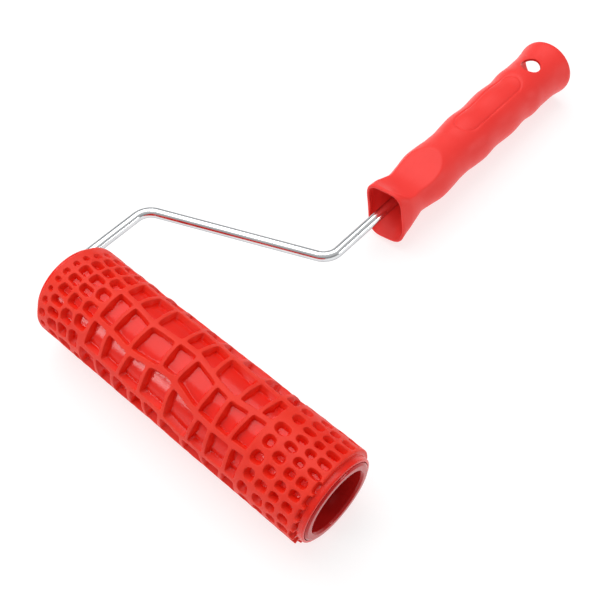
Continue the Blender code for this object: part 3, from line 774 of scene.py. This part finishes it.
    def ring(x, r, at):
        start = len(verts)
        r = np.broadcast_to(r, (len(at),))
        for a, b in zip(at, r):
            verts.append(np.array([x, b * math.cos(a), b * math.sin(a)]))
        return list(range(start, start + len(at)))

    def join(a, b):
        n = len(a)
        for i in range(n):
            j = (i + 1) % n
            faces.append([a[i], a[j], b[j], b[i]])

    bores = {}
    for side in (-1, 1):
        loop = ends[side]
        at = [A[i] for i in loop]
        atn = np.array(at)
        wob = 0.09 * np.sin(3 * atn + side) + 0.05 * np.sin(7 * atn + 2 * side)
        r_here = np.array([R[i] for i in loop])
        steps = [(RELIEF_HALF + 0.06, np.maximum(r_here * 0.35 + (COLLAR_R + 0.3) * 0.65, COLLAR_R - 0.5)),
                 (RELIEF_HALF + 0.22, COLLAR_R + 0.12 + wob), (RELIEF_HALF + 0.55, COLLAR_R + wob),
                 (91.4, COLLAR_R + wob), (92.35, COLLAR_R - 0.04 + 0.5 * wob), (92.75, COLLAR_R - 0.22),
                 (92.95, COLLAR_R - 0.55), (COLLAR_HALF, COLLAR_R - 0.95), (COLLAR_HALF, SLEEVE_IN_R + 0.15),
                 (COLLAR_HALF - 0.12, SLEEVE_IN_R)]
        before = loop
        for x, r in steps:
            now = ring(side * x, r, at)
            join(before, now)
            before = now
        bores[side] = (before, at)
    # the plain bore, zipped from one end ring to the other
    (ra, aa), (rb, ab) = bores[-1], bores[1]
    i = j = 0
    while i < len(ra) or j < len(rb):
        next_a = aa[i + 1] if i + 1 < len(ra) else aa[0] + 2 * math.pi
        next_b = ab[j + 1] if j + 1 < len(rb) else ab[0] + 2 * math.pi
        if j >= len(rb) or (i < len(ra) and next_a <= next_b):
            faces.append([ra[i], ra[(i + 1) % len(ra)], rb[j % len(rb)]])
            i += 1
        else:
            faces.append([ra[i % len(ra)], rb[(j + 1) % len(rb)], rb[j]])
            j += 1

    mesh = bpy.data.meshes.new("rubber_sleeve")
    mesh.from_pydata(place(np.array(verts)).tolist(), [], faces)
    mesh.update()
    bm = bmesh.new()
    bm.from_mesh(mesh)
    bmesh.ops.recalc_face_normals(bm, faces=bm.faces)
    bm.to_mesh(mesh)
    open_edges = sum(1 for e in bm.edges if not e.is_manifold)
    print("SLEEVE verts", len(mesh.vertices), "faces", len(mesh.polygons), "open", open_edges, "crossings", len(extra))
    bm.free()
    return mesh


add("rubber_sleeve", sleeve_mesh(), RUBBER, "roller", ["pattern_sleeve"], angle=38)

# ---------------------------------------------------------------- core tube
core_profile = [(CORE_MOUTH_R + 0.8, CORE_HALF), (CORE_R - 0.9, CORE_HALF), (CORE_R, CORE_HALF - 0.9),
                (CORE_R, -CORE_HALF + 0.9), (CORE_R - 0.9, -CORE_HALF), (CORE_MOUTH_R + 1.5, -CORE_HALF),
                (CORE_MOUTH_R, -CORE_HALF + 2.2), (CORE_MOUTH_R, -66.0), (CORE_MID_R, -62.0),
                (CORE_MID_R, 48.0), (CORE_MOUTH_R, 52.0), (CORE_MOUTH_R, CORE_HALF - 1.2)]
add("core_tube_fine", turned_mesh("core_tube_fine", rounded(core_profile, 0.7), 160), CORE, "roller",
    ["core_tube"])


# ---------------------------------------------------------------- plugs, bushes, washers
def plug_profile(face, inward):
    def at(depth):
        return face + inward * depth
    return [(PLUG_R - 0.5, at(0.0)), (PLUG_R, at(0.6)), (PLUG_R, at(PLUG_LEN)), (PLUG_R - 1.8, at(PLUG_LEN)),
            (PLUG_R - 1.8, at(4.4)), (HUB_R + 1.0, at(4.4)), (HUB_R, at(PLUG_LEN)), (HUB_BORE_R, at(PLUG_LEN)),
            (HUB_BORE_R, at(0.0)), (HUB_R, at(0.0)), (HUB_R + 0.8, at(1.8)), (PLUG_R - 2.4, at(1.8)), (PLUG_R - 1.8, at(0.0))]


def bush_profile(face, inward):
    def at(depth):
        return face + inward * depth
    return [(HUB_R - 0.6, at(-1.3)), (HUB_R - 0.6, at(-0.3)), (BUSH_R, at(-0.3)), (BUSH_R, at(PLUG_LEN - 0.5)),
            (BUSH_BORE_R, at(PLUG_LEN - 0.5)), (BUSH_BORE_R, at(-1.3))]


for label, face, inward in (("near", NEAR_FACE, -1), ("far", FAR_FACE, 1)):
    add(label + "_plug_fine", turned_mesh(label + "_plug_fine", rounded(plug_profile(face, inward), 0.35, 3), 96), PLUG,
        "roller", [label + "_end_plug"])
    add(label + "_bush_fine", turned_mesh(label + "_bush_fine", rounded(bush_profile(face, inward), 0.2, 3), 64), NYLON,
        "roller", [label + "_bush"])


def washer_profile(low, thick, radius, dish=0.0):
    top = low + thick
    return [(AXLE_HOLE_R, top + dish), (radius, top), (radius, low), (AXLE_HOLE_R, low + dish)]


add("far_washer_fine", turned_mesh("far_washer_fine", rounded(washer_profile(FAR_FACE - 2.6, 0.9, 7.0), 0.2, 3), 64), NYLON,
    "frame", ["far_thrust_washer"])
add("near_washer_fine", turned_mesh("near_washer_fine", rounded(washer_profile(NEAR_FACE + 1.6, 0.9, 7.0), 0.2, 3), 64), NYLON,
    "frame", ["near_thrust_washer"])
add("far_clip_fine", turned_mesh("far_clip_fine", rounded(washer_profile(FAR_FACE - 3.7, 0.6, 6.2, -0.5), 0.15, 3), 64), STEEL,
    "frame", ["far_stop_clip"])
cap_low = NEAR_FACE + 2.8
cap_profile = [(0.05, AXLE_TIP_X + 1.7), (2.2, AXLE_TIP_X + 1.55), (3.9, AXLE_TIP_X + 0.8), (4.4, AXLE_TIP_X - 0.2),
               (4.4, cap_low + 0.6), (5.9, cap_low + 0.6), (5.9, cap_low), (AXLE_HOLE_R, cap_low),
               (AXLE_HOLE_R, AXLE_TIP_X + 0.3), (0.05, AXLE_TIP_X + 0.5)]
add("axle_cap_fine", turned_mesh("axle_cap_fine", rounded(cap_profile, 0.15, 3), 64), STEEL,
    "frame", ["axle_end_cap"])


# ---------------------------------------------------------------- wire
def bent_path(corners, radius, segments):
    path = [corners[0]]
    for before, here, after in zip(corners, corners[1:], corners[2:]):
        a, b = (before - here).normalized(), (after - here).normalized()
        half = a.angle(b) / 2
        reach = radius / math.tan(half)
        centre = here + (a + b).normalized() * (radius / math.sin(half))
        u = (here + a * reach - centre).normalized()
        v = (here + b * reach - centre).normalized()
        w = (v - u * u.dot(v)).normalized()
        sweep = math.pi - 2 * half
        for i in range(segments + 1):
            t = sweep * i / segments
            path.append(centre + (u * math.cos(t) + w * math.sin(t)) * radius)
    path.append(corners[-1])
    return path


def wire_mesh():
    """Swept round rod with chamfered ends; the bends keep a round section."""
    corners = [Vector((AXLE_TIP_X, 0, 0)), Vector((ARM_X, 0, 0)), Vector((ARM_X, ARM_Y, 0)),
               Vector((HANDLE_X, NECK_Y, 0)), Vector((HANDLE_X, TANG_END_Y, 0))]
    path = bent_path(corners, BEND_R, 24)
    pts = [path[0]]
    for p in path[1:]:
        gap = (p - pts[-1]).length
        n = max(1, int(gap / 8.0))
        start = pts[-1].copy()
        for i in range(1, n + 1):
            pts.append(start.lerp(p, i / n))
    pts = [Vector((AXLE_TIP_X + 0.0, 0, 0))] + [Vector((AXLE_TIP_X - 0.35, 0, 0))] + pts[1:]
    end = Vector((HANDLE_X, TANG_END_Y, 0))
    pts = pts[:-1] + [end - Vector((0, 0.35, 0)), end]
    n = 48
    ang = np.linspace(0, 2 * np.pi, n, endpoint=False)
    rings = []
    for i, p in enumerate(pts):
        a = pts[max(i - 1, 0)]
        b = pts[min(i + 1, len(pts) - 1)]
        t = (b - a).normalized()
        side = Vector((0, 0, 1)).cross(t)
        r = WIRE_D / 2
        if i in (0, len(pts) - 1):
            r -= 0.35
        rings.append([list(p + side * (r * math.cos(q)) + Vector((0, 0, 1)) * (r * math.sin(q))) for q in ang])
    return grid_mesh("frame_wire_fine", np.array(rings), False, True, cap_ends=True)


add("wire_frame_fine", wire_mesh(), ZINC, "frame", ["frame_wire"], angle=40)


# ---------------------------------------------------------------- handle
def mouth_share(y):
    t = np.clip((np.asarray(y, float) - MOUTH_Y) / 17.0, 0.0, 1.0)
    return (1.0 - t) ** 2


def grip_section(y, ang):
    """Offsets (x, z) of the outer skin; y and ang are arrays of one shape."""
    share = mouth_share(y)
    r = smooth_curve(GRIP_RADII, np.maximum(y, 160.0))
    half_w = r + (MOUTH_HALF_W - r) * share
    top = r + (MOUTH_TOP - r) * share
    bottom = r + (MOUTH_BOTTOM - r) * share
    power = 2.0 / (2.0 + 1.9 * share)
    c, s = np.cos(ang), np.sin(ang)
    x = half_w * np.sign(c) * np.abs(c) ** power
    z = np.where(s > 0, top, bottom) * np.sign(s) * np.abs(s) ** power
    flat = smooth_curve(THUMB_FLAT, y)
    over = z - flat
    k = 0.7
    z = z - np.where(over > -k, np.where(over < k, (over + k) ** 2 / (4 * k), over) * 0.97, 0.0)
    turn = MOUTH_TURN * share
    return x * np.cos(turn) - z * np.sin(turn), x * np.sin(turn) + z * np.cos(turn)


def mouth_lean(y, z):
    """How far a point of the mouth sits behind its ring; the chin reaches forward."""
    return -MOUTH_CHIN * mouth_share(y) * (np.minimum(z, 0.0) / MOUTH_BOTTOM) ** 2


def grip_skin(y, ang, inset=0.0):
    x, z = grip_section(y, ang)
    reach = np.hypot(x, z)
    keep = (reach - inset) / reach
    return np.stack([GRIP_X + x * keep, y + mouth_lean(y, z), z * keep], axis=-1)


PANEL_TURN = math.radians(92.0)


def panel_depth(y, ang):
    """Sunk blank panel on top of the grip: a stadium with a narrow groove round it."""
    along = (y - 251.0)
    across = (ang - PANEL_TURN) * 16.0
    half_l, half_w = 29.3, 7.6
    dx = np.maximum(np.abs(along) - (half_l - half_w), 0.0)
    d = half_w - np.hypot(dx, across)
    return 0.20 * smoothstep(-0.3, 0.4, d) + 0.42 * np.exp(-(d / 0.55) ** 2)


def grip_mesh(nseg, dy):
    """Outer skin, rolled rim, funnel, tang hole; butt rim and pole socket. Closed by construction."""
    ang = np.linspace(0, 2 * np.pi, nseg, endpoint=False)
    rows = []

    def skin_row(y, inset=0.0, push=0.0):
        yy = np.full(nseg, y)
        p = grip_skin(yy, ang, inset)
        p[:, 1] += push
        rows.append(p)

    # funnel, from the tang hole's bottom out to the rim
    def hole_row(y, r, centre=GRIP_X):
        rows.append(np.stack([centre + r * np.cos(ang), np.full(nseg, y), r * np.sin(ang)], axis=-1))

    def funnel_row(y, radius):
        share = mouth_share(np.full(nseg, max(y, MOUTH_Y)))
        x, z = grip_section(np.full(nseg, max(y, MOUTH_Y)), ang)
        reach = np.hypot(x, z)
        keep = (reach - MOUTH_WALL) / reach
        mix = share ** 0.6
        fx = x * keep * mix + radius * np.cos(ang) * (1 - mix)
        fz = z * keep * mix + radius * np.sin(ang) * (1 - mix)
        limit = float(smooth_curve(THUMB_FLAT, max(y, MOUTH_Y))) - MOUTH_WALL - 0.3
        over = fz - limit
        fz = fz - np.where(over > -0.8, np.where(over < 0.8, (over + 0.8) ** 2 / 3.2, over), 0.0)
        rows.append(np.stack([GRIP_X + fx, y + mouth_lean(np.full(nseg, max(y, MOUTH_Y)), fz), fz], axis=-1))

    funnel_r = [(MOUTH_Y, 13.0), (158.5, 12.6), (164.0, 12.0), (171.0, 11.0), (182.0, 9.4), (FUNNEL_END_Y, 7.6)]
    hole_row(SOCKET_END_Y, TANG_HOLE_R, HANDLE_X)
    hole_row(SOCKET_END_Y - 0.6, TANG_HOLE_R, HANDLE_X)
    hole_row(FUNNEL_END_Y + 1.2, TANG_HOLE_R, HANDLE_X)
    hole_row(FUNNEL_END_Y + 0.2, TANG_HOLE_R + 0.9, HANDLE_X)
    for y in np.arange(FUNNEL_END_Y, MOUTH_Y + 1.4, -dy):
        funnel_row(float(y), float(smooth_curve(funnel_r, y)))
    # rolled rim of the mouth
    for k in range(7):
        t = math.pi * k / 6
        inset = MOUTH_WALL / 2 * (1 + math.cos(t))
        skin_row(MOUTH_Y + 0.95, inset, -0.95 * math.sin(t))
    # outer skin
    ys = np.arange(MOUTH_Y + 1.6, BUTT_Y - 1.7, dy)
    Y, A = np.meshgrid(ys, ang, indexing='ij')
    P = grip_skin(Y, A)
    D = panel_depth(Y, A)
    normal = np.stack([np.cos(A), 0 * A, np.sin(A)], axis=-1)
    P = P - normal * D[..., None]
    for i in range(len(ys)):
        rows.append(P[i])
    # butt: rolled outer edge, flat ring, rolled inner edge, socket
    r_out = float(smooth_curve(GRIP_RADII, BUTT_Y - 1.7))
    for k in range(6):
        t = 0.5 * math.pi * k / 5
        hole_row(BUTT_Y - 1.6 + 1.6 * math.sin(t), r_out - 1.1 * (1 - math.cos(t)))
    for k in range(5):
        t = 0.5 * math.pi * k / 4
        hole_row(BUTT_Y - 0.8 * (1 - math.cos(t)), SOCKET_R + 0.9 - 0.8 * math.sin(t))
    for y in np.arange(BUTT_Y - 2.5, SOCKET_END_Y + 0.4, -dy * 2):
        t = (y - SOCKET_END_Y) / (BUTT_Y - 2.5 - SOCKET_END_Y)
        hole_row(float(y), SOCKET_END_R + (SOCKET_R - SOCKET_END_R) * t)
    hole_row(SOCKET_END_Y + 0.3, SOCKET_END_R - 0.1)
    hole_row(SOCKET_END_Y, SOCKET_END_R - 0.5)
    hole_row(SOCKET_END_Y, TANG_HOLE_R + 1.0, HANDLE_X)
    return grid_mesh("handle_grip_fine", np.array(rows), True, True)


grip_obj = add("handle_fine", grip_mesh(200, 0.62), GRIP, "frame",
               ["handle_grip"], angle=42)

# hanging hole through both walls, cut by a plain cylinder
hang_bm = bmesh.new()
bmesh.ops.create_cone(hang_bm, cap_ends=True, segments=64, radius1=HANG_R * MM, radius2=HANG_R * MM, depth=60 * MM)
hang_mesh = bpy.data.meshes.new("hang_tool")
hang_bm.to_mesh(hang_mesh)
hang_bm.free()
hang_tool = bpy.data.objects.new("hang_tool", hang_mesh)
bpy.context.scene.collection.objects.link(hang_tool)
hang_tool.matrix_world = STAND @ Matrix.Translation(Vector((GRIP_X, HANG_Y, 0)) * MM)
cutter = grip_obj.modifiers.new("hang_hole", 'BOOLEAN')
cutter.operation = 'DIFFERENCE'
cutter.solver = 'EXACT'
cutter.object = hang_tool
bpy.context.view_layer.update()
baked = bpy.data.meshes.new_from_object(grip_obj.evaluated_get(bpy.context.evaluated_depsgraph_get()))
grip_obj.modifiers.clear()
grip_obj.data = baked
bpy.data.objects.remove(hang_tool, do_unlink=True)
shade(grip_obj.data, 42)

# ---------------------------------------------------------------- stage
floor_bm = bmesh.new()
bmesh.ops.create_grid(floor_bm, x_segments=1, y_segments=1, size=8.0)
floor_mesh = bpy.data.meshes.new("floor")
floor_bm.to_mesh(floor_mesh)
floor_bm.free()
floor = bpy.data.objects.new("floor", floor_mesh)
floor.location = (0, 0, -0.0006)
bpy.context.scene.collection.objects.link(floor)
# a lit white table: pale, with a little light of its own
paper = Nodes("lit_table")
paper_noise = paper.noise(paper.coord, 3.0, 2.0, 0.5)
paper_tone = paper.ramp(paper_noise, "Fac", [(0.3, (0.36, 0.36, 0.36)), (0.7, (0.38, 0.38, 0.38))])
paper.link(paper_tone, "Color", paper.bsdf, "Base Color")
paper.set(Roughness=0.9, Specular_IOR_Level=0.0, Emission_Color=(1.0, 1.0, 1.0, 1.0), Emission_Strength=TABLE_GLOW)
floor.data.materials.append(paper.mat)

world = bpy.data.worlds.new("studio")
bpy.context.scene.world = world
world.use_nodes = True
sky = world.node_tree
where = sky.nodes.new("ShaderNodeTexCoord")
split = sky.nodes.new("ShaderNodeSeparateXYZ")
bands = sky.nodes.new("ShaderNodeValToRGB")
sky.links.new(where.outputs["Generated"], split.inputs[0])
sky.links.new(split.outputs["Z"], bands.inputs["Fac"])
sky.links.new(bands.outputs["Color"], sky.nodes["Background"].inputs["Color"])
stops = bands.color_ramp.elements
while len(stops) < len(SKY):
    stops.new(0.5)
for stop, (at, tone) in zip(stops, SKY):
    stop.position = at
    stop.color = (tone, tone, tone, 1.0)
sky.nodes["Background"].inputs["Strength"].default_value = 1.0


def soft_light(name, toward, distance, size, radiance, size_y=None, aim=(0.0, 0.0, 0.02)):
    """A soft box in the direction given, as bright as radiance."""
    data = bpy.data.lights.new(name, 'AREA')
    data.shape = 'RECTANGLE'
    data.size = size
    data.size_y = size_y or size
    data.energy = radiance * math.pi * data.size * data.size_y
    obj = bpy.data.objects.new(name, data)
    bpy.context.scene.collection.objects.link(obj)
    out = Vector(toward).normalized()
    obj.location = Vector(aim) + out * distance
    obj.rotation_euler = (-out).to_track_quat('-Z', 'Y').to_euler()
    return obj


for spec in LIGHTS:
    soft_light(*spec)

# ---------------------------------------------------------------- camera
scene = bpy.context.scene
scene.view_settings.view_transform = 'Standard'
cam_data = bpy.data.cameras.new("camera")
cam = bpy.data.objects.new("camera", cam_data)
scene.collection.objects.link(cam)
cam_data.sensor_fit = 'HORIZONTAL'
cam_data.sensor_width = 36.0
cam_data.lens = 36.0 * 990.13 / 600.0
cam_data.clip_start = 0.01
cam_data.clip_end = 50.0
VIEW = np.array([[0.745348, 0.666672, 0.002164], [0.541055, -0.603005, -0.586212], [-0.389506, 0.438103, -0.810155]])
EYE = np.array([208.61, -156.06, 426.65])
rows = VIEW @ ROT.T
basis = Matrix.Identity(4)
for i in range(3):
    basis[i][0] = rows[0][i]
    basis[i][1] = -rows[1][i]
    basis[i][2] = -rows[2][i]
eye = place(EYE[None])[0]
basis.translation = Vector(eye)
cam.matrix_world = basis
scene.camera = cam
